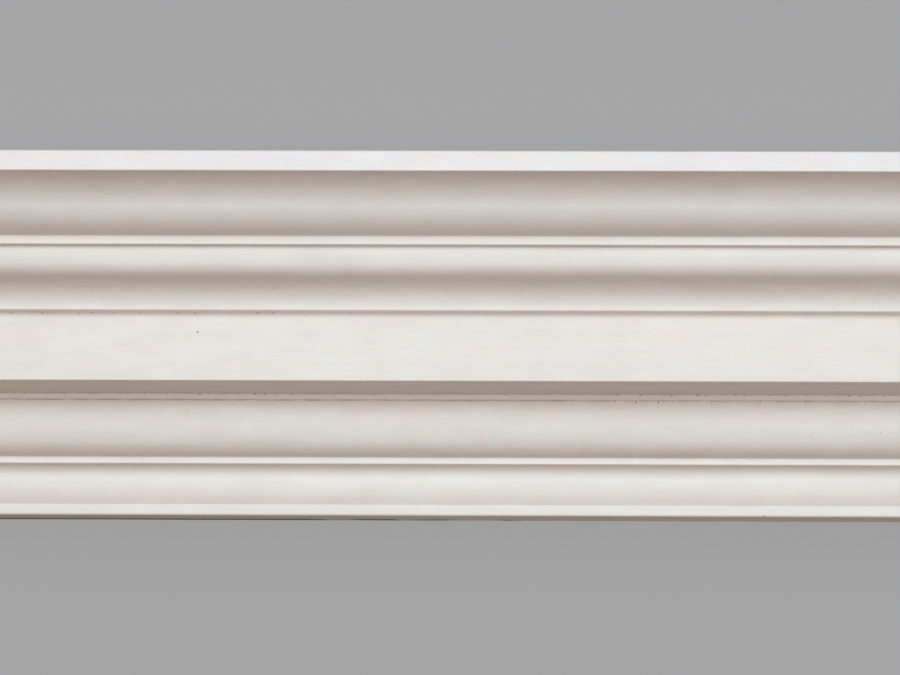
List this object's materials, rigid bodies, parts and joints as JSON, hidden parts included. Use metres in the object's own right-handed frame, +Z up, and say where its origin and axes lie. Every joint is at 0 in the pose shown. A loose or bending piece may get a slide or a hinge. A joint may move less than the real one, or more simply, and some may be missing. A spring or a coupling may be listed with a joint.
{
  "type": "plaster cornice",
  "caption": "Straight plaster cornice with cyma, corona and ovolo mouldings and a flat splayed back, fixed in the corner between a wall and a ceiling.",
  "frame": {"origin": "on the floor, at the middle of the underside of the piece's bounding box, as it lies on its splayed back", "axes": "+X along the length, +Y from the wall edge to the ceiling edge, +Z up out of the moulded face"},
  "size_m": [1.5, 0.2556, 0.043],
  "materials": {
    "painted_plaster": "matte"
  },
  "bodies": {
    "root": {"cornice": "painted_plaster"}
  },
  "joints": []
}
